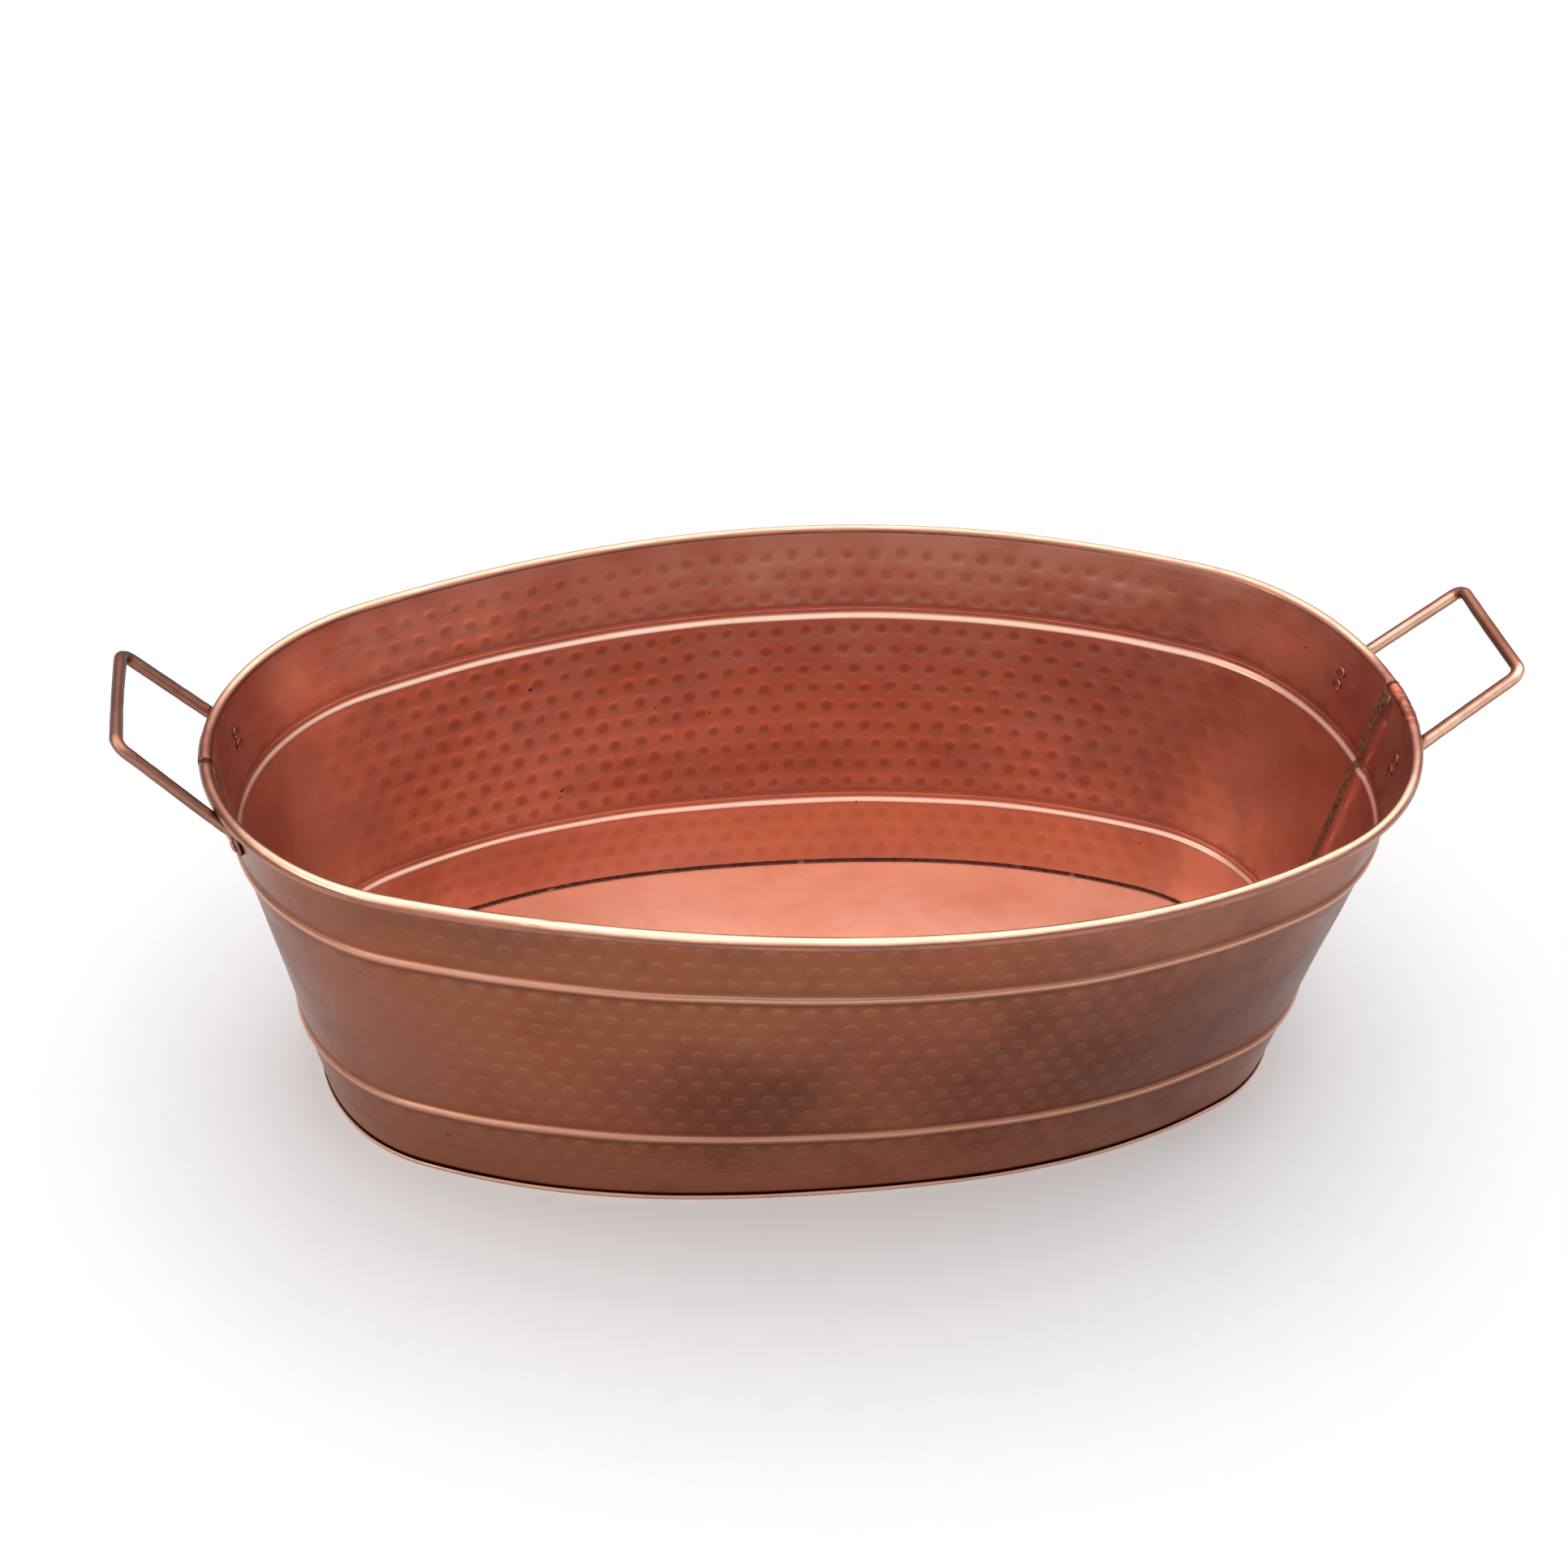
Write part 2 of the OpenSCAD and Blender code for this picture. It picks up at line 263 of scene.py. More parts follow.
class Nodes:
    """Short forms for building a node tree."""

    def __init__(self, name):
        self.material = bpy.data.materials.new(name)
        self.material.use_nodes = True
        self.tree = self.material.node_tree
        self.shader = self.tree.nodes["Principled BSDF"]

    def add(self, kind, inputs=(), **settings):
        node = self.tree.nodes.new(kind)
        for key, value in settings.items():
            setattr(node, key, value)
        for key, value in dict(inputs).items():
            self.feed(node.inputs[key], value)
        return node

    def feed(self, socket, value):
        if isinstance(value, bpy.types.NodeSocket):
            self.tree.links.new(value, socket)
        else:
            socket.default_value = value

    def place(self):
        return self.add("ShaderNodeTexCoord").outputs["Object"]

    def sheet(self, across, up):
        """Coordinates along and up the sheet, stretched by the two scales."""
        uv = self.add("ShaderNodeUVMap", uv_map="sheet").outputs["UV"]
        scaled = self.add("ShaderNodeVectorMath", {0: uv, 1: (across, up, 1)}, operation="MULTIPLY")
        return scaled.outputs["Vector"]

    def noise(self, vector, scale, detail=3.0, rough=0.55, distortion=0.0):
        node = self.add("ShaderNodeTexNoise", {
            "Vector": vector, "Scale": scale, "Detail": detail, "Roughness": rough,
            "Distortion": distortion})
        return node.outputs["Fac"]

    def ramp(self, value, low, high, out_low=0.0, out_high=1.0):
        node = self.add("ShaderNodeMapRange", {
            "Value": value, "From Min": low, "From Max": high, "To Min": out_low, "To Max": out_high},
            interpolation_type="SMOOTHSTEP")
        return node.outputs["Result"]

    def math(self, operation, a, b=0.0):
        return self.add("ShaderNodeMath", {0: a, 1: b}, operation=operation).outputs[0]

    def mix(self, factor, a, b):
        node = self.add("ShaderNodeMix", data_type="RGBA")
        self.feed(node.inputs[0], factor)
        self.feed(node.inputs[6], a)
        self.feed(node.inputs[7], b)
        return node.outputs[2]

    def patch_mask(self, spot, centre, reach):
        """1 at the centre and 0 at the reach on each axis, in millimetres, with a ragged edge."""
        middle = [v * MM for v in centre]
        shrink = [1 / (v * MM) for v in reach]
        away = self.add("ShaderNodeVectorMath", {0: spot, 1: middle}, operation="SUBTRACT")
        scaled = self.add("ShaderNodeVectorMath", {0: away.outputs[0], 1: shrink}, operation="MULTIPLY")
        length = self.add("ShaderNodeVectorMath", {0: scaled.outputs[0]}, operation="LENGTH")
        wander = self.ramp(self.noise(spot, 24, 3, 0.6), 0.2, 0.8, -0.2, 0.2)
        ragged = self.math("ADD", length.outputs["Value"], wander)
        return self.ramp(ragged, 0.1, 1.0, 1.0, 0.0)

    def mark(self, name):
        return self.add("ShaderNodeAttribute", attribute_name=name).outputs["Fac"]

    def bump(self, height, strength, distance, below=None):
        inputs = {"Height": height, "Strength": strength, "Distance": distance}
        if below is not None:
            inputs["Normal"] = below
        return self.add("ShaderNodeBump", inputs).outputs["Normal"]

    def finish(self, color, roughness, normal=None, metallic=1.0, **constants):
        self.feed(self.shader.inputs["Base Color"], color)
        self.feed(self.shader.inputs["Roughness"], roughness)
        self.shader.inputs["Metallic"].default_value = metallic
        if normal is not None:
            self.feed(self.shader.inputs["Normal"], normal)
        for key, value in constants.items():
            self.shader.inputs[key.replace("_", " ")].default_value = value
        return self.material


def rgb(r, g, b):
    """Linear colour from screen values of 0 to 255."""
    def line(v):
        v /= 255
        return v / 12.92 if v <= 0.04045 else ((v + 0.055) / 1.055) ** 2.4
    return (line(r), line(g), line(b), 1.0)


PAINTED_SHADE_TONE = rgb(84, 42, 32)
FOOT_DIRT = rgb(70, 32, 26)
SPECK = rgb(40, 18, 14)
FOOT_LINE = (3.6 * MM, 6.5 * MM)    # the dirt along the foot seam fades between these heights


def wall_copper(name, base, warm, dark, hollow, bright, rough, hollow_shade, broad_patches, coat):
    """Satin copper sheet: patches of tarnish, a brushed grain along the sheet and dark specks, with broad
    patches, painted highlights and painted shade laid over them.
    """
    n = Nodes(name)
    spot = n.place()
    patches = n.noise(spot, 7.5, 3, 0.5, 0.4)
    clouds = n.noise(spot, 26, 4, 0.6, 0.3)
    grain = n.noise(n.sheet(30, 600), 1, 5, 0.65)
    fine = n.noise(spot, 900, 3, 0.6)
    specks = n.noise(spot, 170, 2, 0.5)
    color = n.mix(n.ramp(patches, 0.42, 0.66), base, warm)
    color = n.mix(n.ramp(clouds, 0.5, 0.75, 0, 0.4), color, dark)
    # broad patches: inside the tub, painted light and shade
    for centre, reach, tone, strength in broad_patches:
        color = n.mix(n.math("MULTIPLY", n.patch_mask(spot, centre, reach), strength), color, tone)
    # the hammer marks' tone: painted shade in their hollows inside the tub, a faint lighter tone outside
    color = n.mix(n.math("MULTIPLY", n.mark("hammer"), hollow_shade), color, hollow)
    # painted highlight rings round the hammer marks on the outer face
    color = n.mix(n.math("MULTIPLY", n.mark("ring"), 0.16), color, bright)
    # painted highlight: lighter lines along the ribs
    color = n.mix(n.math("MULTIPLY", n.mark("painted_highlight"), 0.85), color, bright)
    # painted shade: dark lines beside each rib and in the corner under the roll
    color = n.mix(n.math("MULTIPLY", n.mark("painted_shade"), 0.5), color, PAINTED_SHADE_TONE)
    height = n.add("ShaderNodeSeparateXYZ", {0: spot}).outputs["Z"]
    color = n.mix(n.ramp(height, *FOOT_LINE, 0.75, 0.0), color, FOOT_DIRT)
    color = n.mix(n.ramp(grain, 0.35, 0.65, 0, 0.10), color, dark)
    color = n.mix(n.ramp(specks, 0.765, 0.785, 0, 0.8), color, SPECK)
    roughness = n.math("ADD", n.ramp(clouds, 0.3, 0.7, rough - 0.05, rough + 0.07),
                       n.ramp(grain, 0.3, 0.7, -0.03, 0.03))
    roughness = n.math("SUBTRACT", roughness, n.math("MULTIPLY", n.mark("painted_highlight"), 0.08))
    normal = n.bump(grain, 0.05, 0.0003)
    normal = n.bump(fine, 0.08, 0.0002, normal)
    return n.finish(color, roughness, normal, Coat_Weight=coat, Coat_Roughness=0.28)


def rim_copper():
    """The roll: brown like the wall, with a painted highlight along its crown, crinkled and red at a joint.
    """
    n = Nodes("rim_copper")
    spot = n.place()
    worn = n.noise(spot, 34, 3, 0.6)
    scuffs = n.noise(n.sheet(60, 1100), 1, 3, 0.6)
    rare = n.ramp(n.noise(spot, 16, 2, 0.5), 0.56, 0.66)
    crown_highlight = n.ramp(n.math("ADD", n.mark("crown_highlight"), n.ramp(worn, 0.3, 0.7, -0.12, 0.12)), 0.25, 0.95)
    color = n.mix(n.ramp(worn, 0.35, 0.7), rgb(166, 108, 88), rgb(138, 86, 70))
    # painted highlight along the top of the roll
    color = n.mix(crown_highlight, color, rgb(240, 190, 162))
    color = n.mix(n.math("MULTIPLY", n.ramp(scuffs, 0.6, 0.68, 0, 0.8), rare), color, rgb(92, 36, 26))
    red = n.mix(n.ramp(n.noise(spot, 260, 3, 0.6), 0.4, 0.6), rgb(200, 104, 76), rgb(124, 54, 38))
    color = n.mix(n.math("MULTIPLY", n.mark("crinkle"), 0.65), color, red)
    color = n.mix(n.math("MULTIPLY", n.mark("at_end"), 0.8), color, rgb(64, 34, 26))
    roughness = n.ramp(worn, 0.3, 0.7, 0.26, 0.38)
    normal = n.bump(scuffs, 0.12, 0.0003)
    return n.finish(color, roughness, normal, Coat_Weight=0.3, Coat_Roughness=0.2)


def floor_copper():
    n = Nodes("floor_copper")
    spot = n.place()
    patches = n.noise(spot, 9, 4, 0.6, 0.6)
    clouds = n.noise(spot, 45, 4, 0.65, 0.4)
    grain = n.noise(n.add("ShaderNodeVectorMath", {0: spot, 1: (12, 500, 1)}, operation="MULTIPLY")
                    .outputs["Vector"], 1, 3, 0.6)
    fine = n.noise(spot, 700, 3, 0.6)
    color = n.mix(n.ramp(patches, 0.35, 0.7), rgb(250, 198, 176), rgb(240, 178, 152))
    color = n.mix(n.ramp(clouds, 0.5, 0.8, 0, 0.5), color, rgb(226, 162, 138))
    roughness = n.ramp(clouds, 0.3, 0.7, 0.42, 0.55)
    normal = n.bump(grain, 0.08, 0.0003)
    normal = n.bump(fine, 0.10, 0.0002, normal)
    return n.finish(color, roughness, normal)


# way that a rod's surface faces to get the handles' painted highlight
UP_AND_FORWARD = (0, -0.76, 0.65)


def handle_copper(name, light, brown, painted_highlight):
    """Brown satin plating with faint mottling, a painted highlight where the rod faces up and forward,
    painted shade darkest underneath.
    """
    n = Nodes(name)
    spot = n.place()
    mottle = n.noise(spot, 120, 4, 0.65, 0.5)
    broad = n.noise(spot, 22, 2, 0.5)
    fine = n.noise(spot, 1100, 3, 0.6)
    way = n.add("ShaderNodeTexCoord").outputs["Normal"]
    faced = n.add("ShaderNodeVectorMath", {0: way, 1: UP_AND_FORWARD}, operation="DOT_PRODUCT")
    lit = n.math("ADD", faced.outputs["Value"], n.ramp(mottle, 0.3, 0.7, -0.04, 0.04))
    color = n.mix(n.ramp(broad, 0.35, 0.65), light, brown)
    color = n.mix(n.ramp(mottle, 0.5, 0.75, 0, 0.35), color, rgb(92, 56, 46))
    # painted highlight on the side facing up and forward
    color = n.mix(n.ramp(lit, 0.62, 0.95), color, painted_highlight)
    # painted shade underneath
    color = n.mix(n.ramp(lit, 0.05, 0.65, 0.9, 0.0), color, rgb(84, 40, 32))
    roughness = n.ramp(mottle, 0.3, 0.7, 0.34, 0.42)
    normal = n.bump(mottle, 0.02, 0.0004)
    normal = n.bump(fine, 0.06, 0.0002, normal)
    return n.finish(color, roughness, normal)


def rivet_copper():
    """Flattened heads, the colour of the wall and a little duller, with painted shade round their edges."""
    n = Nodes("rivet_copper")
    spot = n.place()
    mottle = n.noise(spot, 240, 3, 0.6, 0.4)
    color = n.mix(n.ramp(mottle, 0.4, 0.65), rgb(190, 134, 114), rgb(150, 98, 82))
    # painted shade round the edge of each head
    color = n.mix(n.math("MULTIPLY", n.mark("edge"), 0.8), color, rgb(78, 42, 32))
    return n.finish(color, n.ramp(mottle, 0.3, 0.7, 0.30, 0.42), n.bump(mottle, 0.15, 0.0004))


def wire_steel():
    n = Nodes("wire_steel")
    grain = n.noise(n.place(), 800, 3, 0.6)
    color = n.mix(grain, rgb(150, 148, 146), rgb(190, 188, 186))
    return n.finish(color, n.ramp(grain, 0.3, 0.7, 0.3, 0.45), n.bump(grain, 0.1, 0.0002))


def crust(name, base, dark, light, metallic):
    """Gritty bead of solder or sealant with pale residue on it."""
    n = Nodes(name)
    spot = n.place()
    grit = n.noise(spot, 520, 4, 0.7, 0.3)
    blots = n.noise(spot, 90, 3, 0.6, 0.5)
    color = n.mix(n.ramp(grit, 0.4, 0.62), base, dark)
    color = n.mix(n.ramp(blots, 0.6, 0.72, 0, 0.7), color, light)
    roughness = n.ramp(grit, 0.3, 0.7, 0.5, 0.75)
    return n.finish(color, roughness, n.bump(grit, 0.5, 0.0006), metallic=metallic,
                    Specular_IOR_Level=0.2)


# Broad patches on the sheets: centre, reach on each axis, tone and strength. Inside the tub they are
# painted light and shade: painted shade across the middle band and at the round ends, painted light over
# the top band and a warm painted reflection low down. Outside they are darker and lighter patches.
INSIDE_PAINTED_LIGHT = (
    ((20, 150, 72), (280, 90, 30), rgb(142, 92, 78), 0.5),
    ((60, 140, 198), (420, 170, 44), rgb(236, 190, 170), 0.75),
    ((-180, 115, 192), (150, 90, 40), rgb(240, 202, 190), 0.7),
    ((220, 90, 192), (170, 110, 44), rgb(196, 126, 100), 0.45),
    ((-150, 110, 34), (140, 80, 24), rgb(160, 104, 88), 0.6),
    ((80, 100, 32), (300, 130, 24), rgb(208, 152, 112), 0.6),
    ((250, 60, 110), (130, 130, 110), rgb(136, 92, 80), 0.7),
    ((-235, 60, 90), (130, 130, 100), rgb(140, 94, 80), 0.75))
OUTSIDE_PATCHES = (
    ((-70, -145, 78), (105, 60, 70), rgb(92, 48, 32), 0.75),
    ((175, -130, 92), (260, 130, 130), rgb(94, 44, 24), 0.8),
    ((285, -50, 120), (80, 130, 130), rgb(98, 54, 38), 0.65),
    ((-290, -40, 120), (60, 120, 120), rgb(96, 62, 48), 0.65),
    ((-200, -125, 196), (110, 90, 34), rgb(116, 72, 52), 0.6),
    ((-235, -70, 110), (90, 90, 100), rgb(146, 94, 76), 0.5),
    ((-140, -140, 80), (90, 70, 60), rgb(164, 90, 64), 0.3))
INSIDE = wall_copper(
    "inside_copper", base=rgb(200, 147, 133), warm=rgb(204, 144, 124), dark=rgb(176, 122, 109),
    hollow=rgb(140, 88, 74), bright=rgb(226, 180, 160), rough=0.36, hollow_shade=0.6,
    broad_patches=INSIDE_PAINTED_LIGHT, coat=0.15)
OUTSIDE = wall_copper(
    "outside_copper", base=rgb(148, 88, 62), warm=rgb(150, 84, 58), dark=rgb(118, 66, 46),
    hollow=rgb(168, 110, 82), bright=rgb(212, 156, 130), rough=0.34, hollow_shade=0.12,
    broad_patches=OUTSIDE_PATCHES, coat=0.0)
RIM = rim_copper()
FLOOR = floor_copper()
# painted light and shade on two copies of one plating: the right handle lighter with a bright painted
# highlight, the left darker with a dull one
RIGHT_HANDLE = handle_copper("right_handle_copper", rgb(170, 110, 88), rgb(144, 88, 70), rgb(246, 204, 178))
LEFT_HANDLE = handle_copper("left_handle_copper", rgb(150, 102, 86), rgb(124, 82, 68), rgb(172, 124, 104))
RIVET = rivet_copper()
WIRE = wire_steel()
SOLDER = crust("seam_solder_look", rgb(138, 92, 66), rgb(70, 44, 32), rgb(190, 132, 100), 0.5)
SEALANT = crust("sealant_look", rgb(104, 52, 38), rgb(58, 28, 22), rgb(186, 140, 118), 0.0)


# ---------------------------------------- half sheets

FOOT_ROWS = (6.0, 10.5)     # heights of rows of points between the sheet's foot and its marks
CELL_W = 14.2               # spacing of the hammer marks along the sheet
MARK_R = 4.2                # radius of a hammer mark
MARK_DEPTH = 0.32
# Bands between the ribs: low, high, rows of marks, their depth and their tone inside the tub, the strength
# of the painted shade in their hollows
BANDS = ((13.5, 46.5, 3, 0.7, 0.35), (55.5, 159.5, 9, 1.0, 1.0), (168.5, 203.0, 3, 0.8, 0.6))
CELLS = round(HALF_L / CELL_W)
STEPS = 4 * CELLS           # four steps along the sheet to a mark
# Rings of a hammer mark: radius, depth, tone and edge tone as shares of the full ones; the edge tone is a
# painted highlight on the outer face
MARK_RINGS = ((0.50, 0.97, 0.85, 0.1), (0.78, 0.68, 0.45, 1.0), (1.04, 0.02, 0.0, 0.1))
MARK_SIDES = 12
# Rows of points across a rib, as shares of half its width
RIB_ROWS = (-1.0, -0.86, -0.7, -0.54, -0.4, -0.15, 0.15, 0.4, 0.54, 0.7, 0.86, 1.0)
JOG = (2.8, 4.4)            # the step in the sheet ends and starts this far before the sheet's end
JOG_FOOT = (6, 13)          # the step comes in between these heights
JOG_TOP = (202, 209)        # and goes out again between these
TONGUE_TOP = 208.0
LAP_END = 1.4               # degrees that the tongue reaches past the sheet's end
# Distances over which the marks fade in at the sheet's start and out at its end
FRONT_PLAIN = ((70, 180), (150, 260))
BACK_PLAIN = ((55, 185), (55, 185))
CURL_END = math.radians(-130)
CURL_TURNS = 20
FRONT_SLEEVE = 28           # length of the roll's end that wraps the other sheet's roll
BACK_SLEEVE = 13
EDGE_GAP = math.radians(0.1)


class Sheet:
    """Points and faces of one half sheet, before its two sides are made from them."""

    def __init__(self):
        self.along, self.z, self.d, self.hammer, self.ring = [], [], [], [], []
        self.curl = []
        self.faces, self.kinds = [], []

    def point(self, along, z, d=0.0, hammer=0.0, ring=0.0, curl=None):
        self.along.append(along)
        self.z.append(z)
        self.d.append(d)
        self.hammer.append(hammer)
        self.ring.append(ring)
        self.curl.append(math.nan if curl is None else curl)
        return len(self.z) - 1

    def line(self, z, curl=None):
        step = HALF_L / STEPS
        return [self.point(i * step, z, curl=curl) for i in range(STEPS + 1)]

    def face(self, corners, kind="wall"):
        self.faces.append(tuple(corners))
        self.kinds.append(kind)

    def strip(self, low, high, kind="wall"):
        for i in range(len(low) - 1):
            self.face((low[i], low[i + 1], high[i + 1], high[i]), kind)


def mark_strength(along, plain):
    """1 where the hammer marks are full, fading to 0 towards the end seams."""
    return float(smooth(along, *plain[0]) * smooth(HALF_L - along, *plain[1]))


def mark_cell(sheet, low, right, high, left, centre, seed, deep, tone, plain):
    """One hammer mark in a cell of four steps. Its outline is 12 points, as its rings have."""
    loop = list(low) + [right] + list(reversed(high)) + [left]
    along, z = centre
    strength = mark_strength(along, plain)
    depth = MARK_DEPTH * deep * strength * seed.uniform(0.75, 1.15)
    radius = MARK_R * seed.uniform(0.88, 1.1)
    along += seed.uniform(-0.9, 0.9)
    z += seed.uniform(-0.7, 0.7)
    tall = seed.uniform(0.88, 1.04)
    inner = loop
    for share, level, shade, edge in reversed(MARK_RINGS):
        ring = []
        for k in range(MARK_SIDES):
            a = math.radians(-150 + 360 * k / MARK_SIDES)
            # painted highlight, strongest along the upper edge of each mark
            bright = 0.25 + 0.75 * max(0.0, math.sin(a))
            ring.append(sheet.point(along + share * radius * math.cos(a),
                                    z + share * radius * tall * math.sin(a),
                                    depth * level, tone * strength * shade,
                                    strength * edge * bright))
        for k in range(MARK_SIDES):
            j = (k + 1) % MARK_SIDES
            sheet.face((inner[k], inner[j], ring[j], ring[k]))
        inner = ring
    middle = sheet.point(along, z, depth, tone * strength)
    for k in range(MARK_SIDES):
        sheet.face((inner[k], inner[(k + 1) % MARK_SIDES], middle))


def mark_rows(sheet, low_line, z0, z1, rows, deep, tone, seed, plain, first_row):
    """Rows of hammer marks, every second row moved by half a cell.

    Gives the top line and the points up the sheet's end.
    """
    step = HALF_L / STEPS
    ladder = []
    line = low_line
    for r in range(rows):
        za = z0 + (z1 - z0) * r / rows
        zb = z0 + (z1 - z0) * (r + 1) / rows
        top = sheet.line(zb)
        zc = (za + zb) / 2
        shift = 2 * ((first_row + r) % 2)
        ends = sorted({0, STEPS} | set(range(shift, STEPS + 1, 4)))
        mids = {i: sheet.point(i * step, zc) for i in ends}
        for a, b in zip(ends[:-1], ends[1:]):
            if b - a == 4:
                mark_cell(sheet, line[a:b + 1], mids[b], top[a:b + 1], mids[a],
                          ((a + b) / 2 * step, zc), seed, deep, tone, plain)
            else:
                half = (a + b) // 2
                centre = sheet.point(half * step, zc)
                sheet.face((line[a], line[half], centre, mids[a]))
                sheet.face((line[half], line[b], mids[b], centre))
                sheet.face((mids[a], centre, top[half], top[a]))
                sheet.face((centre, mids[b], top[b], top[half]))
        ladder += [mids[STEPS], top[STEPS]]
        line = top
    return line, ladder


def plain_rows(sheet, line, heights):
    ladder = []
    for z in heights:
        top = sheet.line(z)
        sheet.strip(line, top)
        ladder.append(top[STEPS])
        line = top
    return line, ladder


def rib_heights(middle):
    return [middle + RIB_WIDTH / 2 * t for t in RIB_ROWS]


def lap_tab(sheet, ladder):
    """The tongue that reaches past the sheet's end, inside the other sheet."""
    past = math.radians(LAP_END) * (END_R + MID_S)
    last = ladder
    columns = 4
    for c in range(1, columns + 1):
        row = [sheet.point(HALF_L + past * c / columns, sheet.z[i]) for i in ladder]
        for k in range(len(ladder) - 1):
            sheet.face((last[k], row[k], row[k + 1], last[k + 1]))
        last = row


def sheet_mesh(name, front):
    seed = random.Random(5 if front else 3)
    plain = FRONT_PLAIN if front else BACK_PLAIN
    sheet = Sheet()
    line = sheet.line(PAN + GAP)
    line, _ = plain_rows(sheet, line, FOOT_ROWS)
    line, ladder = plain_rows(sheet, line, (BANDS[0][0],))
    line, more = mark_rows(sheet, line, *BANDS[0], seed, plain, 0)
    ladder += more
    line, more = plain_rows(sheet, line, rib_heights(LOWER_RIB) + [BANDS[1][0]])
    ladder += more
    line, more = mark_rows(sheet, line, *BANDS[1], seed, plain, 1)
    ladder += more
    line, more = plain_rows(sheet, line, rib_heights(UPPER_RIB) + [BANDS[2][0]])
    ladder += more
    line, more = mark_rows(sheet, line, *BANDS[2], seed, plain, 0)
    ladder += more
    line, more = plain_rows(sheet, line, (TONGUE_TOP,))
    ladder += more
    lap_tab(sheet, ladder)
    curl_start = math.pi - LEAN
    for i in range(CURL_TURNS + 1):
        angle = curl_start + (CURL_END - curl_start) * i / CURL_TURNS
        top = sheet.line(ROLL_Z, curl=angle)
        sheet.strip(line, top, "rim" if i else "wall")
        line = top

    # the last columns crowd together where the sheet steps inward
    evenly = np.array(sheet.along)
    step = HALF_L / STEPS
    from_end = np.interp(HALF_L - evenly, [0, step, 2 * step, 3 * step, 4 * step, HALF_L],
                         [0, *JOG, 9.0, 4 * step, HALF_L])
    along = np.where(evenly < HALF_L, HALF_L - from_end, evenly)
    z = np.array(sheet.z)
    rolled = ~np.isnan(np.array(sheet.curl))
    curl = np.nan_to_num(np.array(sheet.curl))
    turn = turn_at(along)
    phase = 0.8 if front else 2.1
    level = smooth(z, 14, 30) * (1 - smooth(z, 180, 200))
    d = np.array(sheet.d) + np.where(rolled, 0, rib(z) + sway(along, z, phase) * level)
    # the end of the sheet steps inward to lie behind the other sheet
    steps_in = smooth(along, HALF_L - JOG[1], HALF_L - JOG[0]) * (1 - smooth(z, *JOG_TOP))
    steps_in = steps_in * smooth(z, *JOG_FOOT)
    d = d - (SHEET + GAP) * np.where(rolled, 0, steps_in)
    # each sheet's end stops just short of the other sheet
    turn = np.where(along <= 0, EDGE_GAP, turn)
    turn = np.where(rolled & (along >= HALF_L), math.pi - EDGE_GAP, turn)

    # the roll's last stretch is a sleeve round the other sheet's roll, crinkled at the right end
    sleeve = FRONT_SLEEVE if front else BACK_SLEEVE
    wrapped = smooth(along, HALF_L - sleeve - 5, HALF_L - sleeve)
    lumps = np.sin(along * 1.9) * np.sin(curl * 3 + along * 0.7)
    swell = wrapped * (0.35 + (0.28 * lumps if front else 0))
    crinkle = np.where(rolled, wrapped * (1 if front else 0.4), 0)
    # painted highlight along the top of the roll, on the upper half of its turn
    crown_highlight = np.where(rolled, np.clip(np.sin(curl + 0.2), 0, 1) ** 2, 0)
    faces_of_sheet = []
    for curl_r, depth in ((CURL_OUT + swell, -SHEET), (CURL_IN, 0.0)):
        s = offset_at(z, d + depth)
        height = z.copy()
        s = np.where(rolled, ROLL_S + curl_r * np.cos(curl), s)
        height = np.where(rolled, ROLL_Z + curl_r * np.sin(curl), height)
        x, y = oval(slip(turn, np.where(rolled, math.inf, z), front), s)
        if front:
            x, y = -x, -y
        faces_of_sheet.append(np.column_stack([x, y, height]))
    count = len(z)
    points = np.vstack(faces_of_sheet)
    # the first copy is the face inside the tub, the second the face outside
    inner = [tuple(reversed(f)) for f in sheet.faces]
    outer = [tuple(i + count for i in f) for f in sheet.faces]
    edges = {}
    for f in sheet.faces:
        for a, b in zip(f, f[1:] + f[:1]):
            edges[(a, b)] = edges.get((a, b), 0) + 1
    rim_edges = [(a, b) for (a, b) in edges if (b, a) not in edges]
    sides = [(a, b, b + count, a + count) for a, b in rim_edges]
    kinds = ([{"wall": 0, "rim": 2}[k] for k in sheet.kinds]
             + [{"wall": 1, "rim": 1}[k] for k in sheet.kinds] + [2] * len(sides))
    rolled_up = np.where(rolled, (curl_start - curl) * CURL_OUT + ROLL_Z, z)
    uv = np.tile(np.column_stack([along + (HALF_L if front else 0), rolled_up]), (2, 1))
    flat = ~rolled
    # painted highlight along each rib, on its lower flank inside and its upper flank outside
    painted_highlight = np.concatenate([near_rib(z, -3.2, -2.0) * flat, near_rib(z, 0.2, 2.4) * flat])
    # painted shade lines beside each rib: above it inside, below it outside
    painted_shade = np.concatenate([near_rib(z, 3.4, 4.2) * flat, near_rib(z, -4.4, -3.0) * flat])
    at_end = np.where(rolled, 0.6 * (1 - smooth(HALF_L - along, 0, 1.5)), 0)
    # the roll's painted highlight dims towards the round ends, unevenly at front and back
    round_end = np.abs(np.sin(turn))
    brown_end = np.where(along < HALF_L / 2, 0.3, 0.6) if not front else 0.85
    crown_highlight = crown_highlight * (0.12 + 0.88 * smooth(round_end / brown_end, 0.1, 1))
    # the painted rib highlight inside dims towards the round ends
    painted_highlight[:len(z)] *= 0.2 + 0.8 * smooth(round_end, 0.5, 1)
